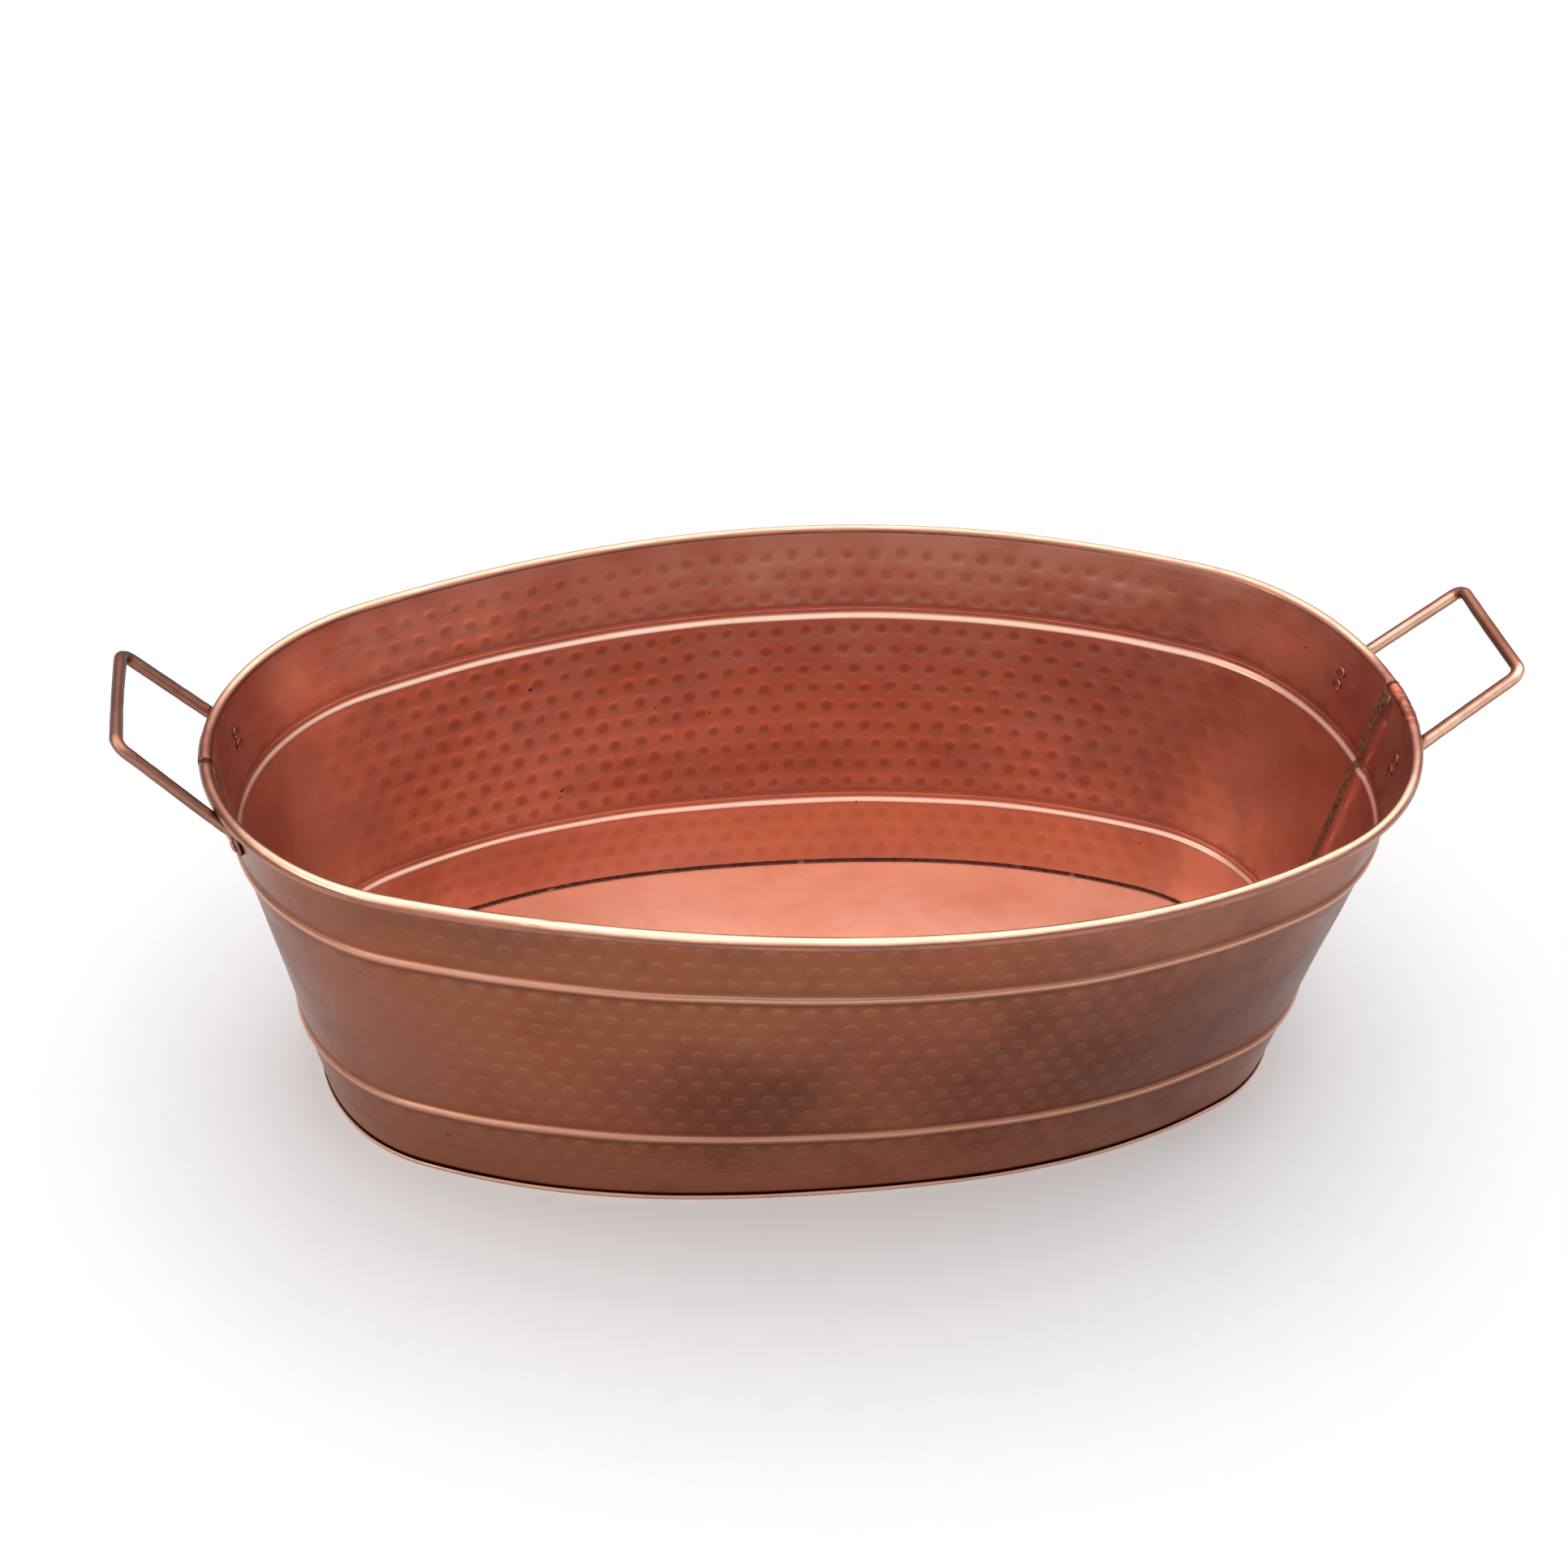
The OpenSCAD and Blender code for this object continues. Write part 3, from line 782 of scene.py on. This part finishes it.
    # painted shade in the corner just under the roll, where the sheet's end steps in
    corner = (z > 197) & (along > HALF_L - JOG[1]) & flat
    painted_shade[:len(z)] = np.where(corner, 1.0, painted_shade[:len(z)])
    marks = {"hammer": sheet.hammer, "crown_highlight": crown_highlight, "crinkle": crinkle, "at_end": at_end}
    marks = {key: np.tile(np.array(values), 2) for key, values in marks.items()}
    marks["painted_highlight"] = painted_highlight
    marks["painted_shade"] = painted_shade
    # painted highlight rings on the outer face only
    marks["ring"] = np.concatenate([np.zeros(len(z)), sheet.ring])
    return make(name, points, inner + outer + sides, [INSIDE, OUTSIDE, RIM], kinds, uv, marks, sharp=0)


place(sheet_mesh("front_half_sheet", True), "front_wall")
place(sheet_mesh("back_half_sheet", False), "back_wall")


# ---------------------------------------- bottom pan, wire, beads

OVAL_STEPS = 420
SEALANT_STEPS = 1200
WIRE_SIDES = 14


def oval_turns(count=OVAL_STEPS):
    """Directions round the whole oval, evenly spaced along it."""
    along = np.linspace(0, 2 * HALF_L, count, endpoint=False)
    half = along >= HALF_L
    return turn_at(np.where(half, along - HALF_L, along)) + np.where(half, np.pi, 0), along


def oval_sweep(section, turns):
    """Rings of points: section is a list of (offset, height), each a number or one per turn."""
    rings = []
    for offset, height in section:
        x, y = oval(turns, offset)
        rings.append(np.column_stack([x, y, np.broadcast_to(height, x.shape)]))
    return np.vstack(rings)


def arc(centre, radius, start, stop, steps):
    angles = np.radians(np.linspace(start, stop, steps + 1))
    return [(centre[0] + radius * math.cos(a), centre[1] + radius * math.sin(a)) for a in angles]


def pan_mesh():
    """Floor, rounded edge, skirt and the fold that grips the wall's foot."""
    lean = math.degrees(LEAN)
    bend = (BEND_S, BEND_Z)
    turns, along = oval_turns()
    wobble = 0.12 * np.sin(along / 23.0) + 0.08 * np.sin(along / 9.1 + 1)
    outer_top = SEAM_HIGH + wobble
    section = arc(bend, FLOOR_BEND, 90, -lean, 7)
    section.append((offset_at(PAN, SKIRT_D), PAN + 0.3))
    section.append((offset_at(PAN, GAP), PAN + 0.3))
    section += [(offset_at(SEAM_HIGH, GAP), outer_top - 0.35),
                (offset_at(SEAM_HIGH, GAP + 0.3), outer_top),
                (offset_at(SEAM_HIGH, FOOT_PROUD - 0.3), outer_top),
                (offset_at(SEAM_HIGH, FOOT_PROUD), outer_top - 0.35),
                (offset_at(1.6, FOOT_PROUD + 0.12), 1.6),
                (offset_at(0.5, FOOT_PROUD), 0.5),
                (offset_at(0, FOOT_PROUD - 0.45), 0.0),
                (offset_at(0, SKIRT_D - PAN + 0.3), 0.0),
                (offset_at(0.4, SKIRT_D - PAN), 0.4)]
    section += arc(bend, FLOOR_BEND - PAN, -lean, 90, 7)
    rings = oval_sweep(section, turns)
    count = OVAL_STEPS
    faces = ring_faces(len(section), count)
    # the flat floor: rings that shrink to the middle, on the top face and on the underside
    points = [rings]
    base = len(rings)
    shares = [0.985, 0.96, 0.92, 0.86, 0.78, 0.68, 0.57, 0.45, 0.33, 0.22, 0.12, 0.05]
    for side, ring in ((1, 0), (-1, len(section) - 1)):
        edge = rings[ring * count:(ring + 1) * count]
        previous = list(range(ring * count, (ring + 1) * count))
        level = FLOOR_Z if side > 0 else FLOOR_Z - PAN
        for share in shares:
            x, y = edge[:, 0] * share, edge[:, 1] * share
            dome = 0.35 * (1 - share ** 2) * np.sin(x / 61 + 0.6) * np.cos(y / 47 + 0.3)
            dome += 0.12 * (1 - share) * np.sin(x / 23 + y / 31)
            points.append(np.column_stack([x, y, level + dome]))
            current = list(range(base, base + count))
            base += count
            for i in range(count):
                j = (i + 1) % count
                quad = (previous[i], previous[j], current[j], current[i])
                faces.append(quad if side > 0 else tuple(reversed(quad)))
            previous = current
        middle = points[-1].mean(axis=0)
        points.append(middle[None, :])
        for i in range(count):
            tri = (previous[i], previous[(i + 1) % count], base)
            faces.append(tri if side > 0 else tuple(reversed(tri)))
        base += 1
    points = np.vstack(points)
    # from the floor's edge down the skirt the faces must look outward
    faces = [f if k >= (len(section) - 1) * count else tuple(reversed(f)) for k, f in enumerate(faces)]
    # the fold that grips the wall's foot has the roll's brown, with a painted highlight down its outer face
    # near the ground; the rest is pale
    kinds = np.zeros(len(faces), int)
    kinds[9 * count:15 * count] = 1
    # painted highlight down the fold's outer face
    crown_highlight = np.zeros(len(points))
    crown_highlight[13 * count:15 * count] = 0.9
    return make("floor_pan", points, faces, [FLOOR, RIM], kinds, uv=points[:, :2],
                marks={"crown_highlight": crown_highlight}, sharp=50)


def wire_mesh():
    section = arc((ROLL_S, ROLL_Z), WIRE_R, 0, 360, WIRE_SIDES)[:-1]
    turns, _ = oval_turns()
    faces = closed_faces(len(section), len(turns))
    return make("rim_wire_ring", oval_sweep(section, turns), faces, [WIRE], sharp=0)


def bead_noise(along, scale, phase):
    return (np.sin(along * scale + phase) + 0.6 * np.sin(along * scale * 2.31 + 2 * phase)
            + 0.45 * np.sin(along * scale * 4.7 + 3 * phase)) / 2


def sealant_mesh():
    """A smeared bead in the groove round the floor."""
    turns, along = oval_turns(SEALANT_STEPS)
    swell = 0.35 * bead_noise(along, 0.31, 0.4) + 0.2 * bead_noise(along, 0.9, 1.9)
    wall_top = FLOOR_Z + SEALANT_RISE + 0.25 * swell
    in_reach = BEND_S + 0.75 - 1.0 * np.clip(swell, -0.3, 1)
    wall_s = offset_at(FLOOR_Z, SKIRT_D)
    # over the floor, up the wall and back along the groove
    shape = ((in_reach, FLOOR_Z - 0.12),
             (in_reach + 0.35, FLOOR_Z + 0.06),
             (BEND_S + 1.5, FLOOR_Z + 0.05 + 0.15 * swell),
             (BEND_S + 2.4, FLOOR_Z + 0.3 + 0.2 * swell),
             (wall_s - 0.25, wall_top - 0.35),
             (wall_s + 0.12, wall_top),
             (offset_at(BEND_Z, SKIRT_D), BEND_Z + 1.0),
             (BEND_S + FLOOR_BEND * 0.9, BEND_Z + 1.4),
             (BEND_S + FLOOR_BEND * 0.5, FLOOR_Z - 0.35))
    faces = [tuple(reversed(f)) for f in closed_faces(len(shape), len(turns))]
    return make("floor_sealant_bead", oval_sweep(shape, turns), faces, [SEALANT], sharp=0)


SOLDER_REACH = (13.2, 208)  # heights of the bead's ends
SOLDER_WIDE = 3.6           # degrees of the end's arc
SOLDER_HIGH = 0.75
SOLDER_TAPER = (200, 207)


def solder_mesh(name, flip):
    """The lumpy bead beside the lap's edge, inside the tub."""
    heights = np.linspace(*SOLDER_REACH, 260)
    start = LAP_END + 0.15
    count = 7
    rows = []
    lumps = bead_noise(heights, 0.75, 0.9) * 0.5 + 0.5 * bead_noise(heights, 2.1, 0.2)
    for k in range(count):
        t = k / (count - 1)
        edge = start + t * (SOLDER_WIDE + 0.35 * lumps * t - 0.5)
        round_top = math.sin(math.pi * min(1, 0.25 + 0.75 * t)) ** 0.7
        rise = SOLDER_HIGH * round_top * (1 + 0.35 * lumps)
        rise = rise * (1 - 0.9 * smooth(heights, *SOLDER_TAPER))
        if k == count - 1:
            rise = 0 * lumps
        d = -SHEET + rib(heights) - rise
        x, y = oval(slip(np.radians(edge), heights, flip), offset_at(heights, d))
        rows.append(np.column_stack([x, y, heights]))
    back_d = -SHEET + rib(heights)
    for t in (1, 0):
        under = slip(np.radians(start + t * (SOLDER_WIDE - 0.5)) + 0 * heights, heights, flip)
        x, y = oval(under, offset_at(heights, back_d + 0.02))
        rows.append(np.column_stack([x, y, heights]))
    points = np.vstack(rows)
    if flip:
        points[:, :2] *= -1
    n = len(heights)
    total = len(rows)
    faces = []
    for r in range(total):
        a, b = r * n, ((r + 1) % total) * n
        for i in range(n - 1):
            faces.append((a + i, a + i + 1, b + i + 1, b + i))
    faces.append(tuple(r * n for r in range(total)))
    faces.append(tuple(r * n + n - 1 for r in reversed(range(total))))
    return make(name, points, faces, [SOLDER], sharp=0)


place(pan_mesh(), "bottom_pan")
place(wire_mesh(), "rim_wire")
place(sealant_mesh(), "floor_sealant")
place(solder_mesh("right_solder_bead", False), "right_seam_solder")
place(solder_mesh("left_solder_bead", True), "left_seam_solder")


# ---------------------------------------- handles and rivets

def unit(v):
    v = np.array(v, float)
    return v / np.linalg.norm(v)


def cone_frame(side, up):
    """Point of the right end's outer face on the handle's line, its outward normal and its way up."""
    a = side * FOOT_ANGLE
    radial = np.array([math.cos(a), math.sin(a), 0])
    up_way = radial * SIN_L + np.array([0, 0, COS_L])
    normal = radial * COS_L - np.array([0, 0, SIN_L])
    origin = np.array([END_C, 0, 0]) + radial * END_R + up_way * up
    return origin, normal, up_way


# Distances up the wall, measured along it from the ground
BEND_UP = FOOT_BEND_Z / COS_L + (ROD_R + GAP) * math.tan(LEAN)
KNUCKLE = 2.4               # where the round rod becomes the flat foot
TAB_TOP = BEND_UP - KNUCKLE
RIVET_PITCH = 7.0
HEAD_D = 6.6
RIVET_EDGE = 0.3
UPPER_RIVET = TAB_TOP - HEAD_D / 2 - RIVET_EDGE
LOWER_RIVET = UPPER_RIVET - RIVET_PITCH
KNUCKLE_X = END_C + foot_rho * math.cos(FOOT_ANGLE)
# How far each handle is drawn out, lifted at the grip and twisted
HANDLE_BENDS = {1: (1.8, -1.8, -2.5), -1: (0.0, 2.2, 3.2)}
ROUND = 2.0                 # squareness of a section: 2 is an ellipse
FLATTENED = 3.4
HANDLE_SIDES = 22
SHANK_R = 1.72
HEAD_SEAT = 0.06            # how far a flat head stands off the curved wall
RIVET_SIDES = 36


def handle_stations():
    """Centre line, half sizes and squareness of the right handle's section, from foot to foot."""
    arm = np.array([math.cos(HANDLE_RISE), 0, math.sin(HANDLE_RISE)])
    plane = np.array([-math.sin(HANDLE_RISE), 0, math.cos(HANDLE_RISE)])
    grip_x = handle_high[0] - ROD_R
    stations = []
    for side in (1, -1):
        line = []
        origin, normal, up_way = cone_frame(side, 0)
        tab_end = LOWER_RIVET - TAB_W / 2
        tab_mid = GAP + TAB_T / 2
        for t in np.linspace(0, 1, 7):
            # the round end of the tab
            reach = -2.0 + TAB_W / 2 * (1 - math.cos(t * math.pi / 2))
            wide = max(0.35, TAB_W / 2 * math.sin(t * math.pi / 2))
            line.append((origin + up_way * (tab_end + reach) + normal * tab_mid, wide,
                         TAB_T / 2 * (0.72 + 0.28 * min(1, 2 * t)), FLATTENED, -normal))
        for up in (LOWER_RIVET + 2, UPPER_RIVET - 1.5, UPPER_RIVET + 1.2):
            line.append((origin + up_way * up + normal * tab_mid, TAB_W / 2, TAB_T / 2, FLATTENED, -normal))
        bend = np.array([END_C + foot_rho * math.cos(side * FOOT_ANGLE),
                         side * HANDLE_HALF, FOOT_BEND_Z])
        start = origin + up_way * (UPPER_RIVET + 1.6) + normal * tab_mid
        stop = bend + arm * 5.5
        for t in np.linspace(0.12, 1, 12):
            spot = (1 - t) ** 2 * start + 2 * t * (1 - t) * (bend + normal * 0.2) + t * t * stop
            k = float(smooth(t, 0.0, 0.75))
            line.append((spot, TAB_W / 2 + (ROD_R - TAB_W / 2) * k, TAB_T / 2 + (ROD_R - TAB_T / 2) * k,
                         FLATTENED + (ROUND - FLATTENED) * k, -normal * (1 - k) + plane * k))
        reach = (grip_x - bend[0]) / arm[0]
        for t in np.linspace(0.14, 1, 14)[:-1]:
            line.append((bend + arm * (t * (reach - GRIP_BEND)), ROD_R, ROD_R, ROUND, plane))
        corner = bend + arm * (reach - GRIP_BEND) - np.array([0, side * GRIP_BEND, 0])
        for a in np.linspace(0, math.pi / 2, 9):
            spot = corner + GRIP_BEND * (arm * math.sin(a) + np.array([0, side * math.cos(a), 0]))
            flat = 0.14 * math.sin(2 * a)
            line.append((spot, ROD_R * (1 + flat * 0.4), ROD_R * (1 - flat * 0.4), ROUND, plane))
        stations.append(line)
    middle = []
    a, b = stations[0][-1][0], stations[1][-1][0]
    for t in np.linspace(0, 1, 12)[1:-1]:
        middle.append((a + (b - a) * t, ROD_R, ROD_R, ROUND, plane))
    return stations[0] + middle + list(reversed(stations[1]))


def handle_mesh(name, end):
    stations = handle_stations()
    spots = np.array([s[0] for s in stations])
    tangents = np.gradient(spots, axis=0)
    sides = HANDLE_SIDES
    points = []
    for i, (spot, wide, thick, power, away) in enumerate(stations):
        t = unit(tangents[i])
        up = unit(away - t * np.dot(away, t))
        across = np.cross(t, up)
        wave = 1 + 0.012 * math.sin(i * 1.7) + 0.008 * math.sin(i * 4.1)
        for k in range(sides):
            c, s = math.cos(TAU * k / sides), math.sin(TAU * k / sides)
            u = wide * wave * math.copysign(abs(c) ** (2 / power), c)
            v = thick * wave * math.copysign(abs(s) ** (2 / power), s)
            points.append(spot + across * u + up * v)
    points = np.array(points)
    # each handle is bent a little differently
    longer, lift, twist = HANDLE_BENDS[end]
    reach = np.clip((points[:, 0] - KNUCKLE_X) / (handle_high[0] - KNUCKLE_X), 0, 1)
    points[:, 0] += longer * reach
    points[:, 2] += (lift + twist * points[:, 1] / HANDLE_HALF) * reach
    faces = [tuple(reversed(f)) for f in ring_faces(len(stations), sides)]
    faces.append(tuple(range(sides)))
    faces.append(tuple(reversed(range(len(points) - sides, len(points)))))
    if end < 0:
        points[:, :2] *= -1
    return make(name, points, faces, [RIGHT_HANDLE if end > 0 else LEFT_HANDLE], sharp=55)


def rivet_mesh(name, end, side, level):
    seed = random.Random(name)
    origin, normal, up_way = cone_frame(side * end, UPPER_RIVET if level == "upper" else LOWER_RIVET)
    across = np.cross(up_way, normal)
    inside = -SHEET - HEAD_SEAT
    outside = GAP * 2 + TAB_T
    r = HEAD_D / 2
    profile = [(0, inside - 1.1), (r * 0.55, inside - 1.08), (r * 0.82, inside - 1.0),
               (r * 0.92, inside - 0.86), (r * 0.985, inside - 0.6), (r * 1.02, inside - 0.25),
               (r * 1.02, inside), (SHANK_R, inside), (SHANK_R, outside), (r * 0.96, outside),
               (r * 0.985, outside + 0.25), (r * 0.9, outside + 0.75), (r * 0.68, outside + 1.2),
               (r * 0.36, outside + 1.44), (0, outside + 1.5)]
    sides = RIVET_SIDES
    tip = seed.uniform(-0.05, 0.05)
    stretch = seed.uniform(0, math.pi)
    points = []
    edge = []
    for rad, d in profile[1:-1]:
        # edge marks the rim of each head for its painted shade
        edge += [1.0 if rad > 0.97 * r else 0.0] * sides
        for k in range(sides):
            a = TAU * k / sides
            out = rad * (1 + 0.02 * math.cos(2 * (a - stretch)) + 0.012 * math.cos(5 * a + stretch))
            lift = d + tip * rad / r * math.cos(a) * (1 if abs(d) > 0.9 else 0)
            points.append(origin + normal * lift + up_way * out * math.sin(a) + across * out * math.cos(a))
    faces = ring_faces(len(profile) - 2, sides)
    # the middles of the tail and of the head
    last = len(points) - sides
    tail, head = len(points), len(points) + 1
    for _, d in (profile[0], profile[-1]):
        points.append(origin + normal * d)
        edge.append(0.0)
    for k in range(sides):
        j = (k + 1) % sides
        faces.append((j, k, tail))
        faces.append((last + k, last + j, head))
    points = np.array(points)
    if end < 0:
        points[:, :2] *= -1
    return make(name, points, faces, [RIVET], marks={"edge": edge}, sharp=50)


for end_name, end in ENDS:
    place(handle_mesh(f"{end_name}_rod_handle", end), f"{end_name}_handle")
    for side_name, side in SIDES:
        for level in LEVELS:
            node = f"rivet_{end_name}_{side_name}_{level}"
            place(rivet_mesh(f"{node}_shaped", end, side, level), node)


# ---------------------------------------- studio

# Strength of the sky by the height of the direction, from 0 at the horizon to 1 overhead
SKY = {"From Min": 0.12, "From Max": 0.7, "To Min": 0.3, "To Max": 1.45}
CAMERA_AIM = (-0.0018, 0.0868, 0.100)
CAMERA_AZIMUTH = 11.91      # degrees, from looking along +Y
CAMERA_HEIGHT = 38.92       # degrees above the horizon
CAMERA_ROLL = 4.14
CAMERA_DISTANCE = 1.5306
CAMERA_LENS = 64.08


def add_camera():
    azimuth, height = math.radians(CAMERA_AZIMUTH), math.radians(CAMERA_HEIGHT)
    ahead = Vector((math.sin(azimuth) * math.cos(height), math.cos(azimuth) * math.cos(height),
                    -math.sin(height)))
    data = bpy.data.cameras.new("camera")
    data.lens = CAMERA_LENS
    camera = bpy.data.objects.new("camera", data)
    bpy.context.scene.collection.objects.link(camera)
    spot = Matrix.Translation(Vector(CAMERA_AIM) - ahead * CAMERA_DISTANCE)
    level = ahead.to_track_quat("-Z", "Y").to_matrix().to_4x4()
    roll = Matrix.Rotation(math.radians(CAMERA_ROLL), 4, "Z")
    camera.matrix_world = spot @ level @ roll
    bpy.context.scene.camera = camera


def area_light(name, spot, aim, size, power):
    data = bpy.data.lights.new(name, "AREA")
    data.shape = "RECTANGLE"
    data.size, data.size_y = size
    data.energy = power
    lamp = bpy.data.objects.new(name, data)
    lamp.location = spot
    lamp.rotation_euler = (Vector(aim) - Vector(spot)).to_track_quat("-Z", "Y").to_euler()
    bpy.context.scene.collection.objects.link(lamp)


def add_sky():
    """White light all round, dimmer near the horizon than overhead."""
    world = bpy.data.worlds.new("studio")
    world.use_nodes = True
    tree = world.node_tree
    sky = tree.nodes["Background"]
    sky.inputs["Color"].default_value = (1, 1, 1, 1)
    way = tree.nodes.new("ShaderNodeTexCoord")
    split = tree.nodes.new("ShaderNodeSeparateXYZ")
    ramp = tree.nodes.new("ShaderNodeMapRange")
    ramp.interpolation_type = "SMOOTHSTEP"
    for socket, value in SKY.items():
        ramp.inputs[socket].default_value = value
    tree.links.new(way.outputs["Generated"], split.inputs[0])
    tree.links.new(split.outputs["Z"], ramp.inputs["Value"])
    tree.links.new(ramp.outputs["Result"], sky.inputs["Strength"])
    bpy.context.scene.world = world


def add_floor():
    half = 6.0
    corners = [(-half, -half, 0), (half, -half, 0), (half, half, 0), (-half, half, 0)]
    mesh = bpy.data.meshes.new("studio_floor")
    mesh.from_pydata(corners, [], [(0, 1, 2, 3)])
    n = Nodes("studio_paper")
    tooth = n.noise(n.place(), 60, 2, 0.5)
    n.finish(n.mix(tooth, (0.69, 0.69, 0.69, 1), (0.71, 0.71, 0.71, 1)), 0.9, metallic=0.0)
    mesh.materials.append(n.material)
    floor = bpy.data.objects.new("studio_floor", mesh)
    bpy.context.scene.collection.objects.link(floor)


def add_studio():
    add_sky()
    area_light("top_soft", (0.3, 0.5, 2.0), (0, 0, 0.1), (2.6, 2.6), 19)
    area_light("left_soft", (-1.5, -0.6, 1.1), (0, 0, 0.1), (0.7, 0.7), 5)
    area_light("front_soft", (-1.5, -1.9, 0.65), (0.2, 0, 0.2), (1.4, 0.8), 4)
    add_floor()
    bpy.context.scene.view_settings.view_transform = "Standard"


add_camera()
add_studio()
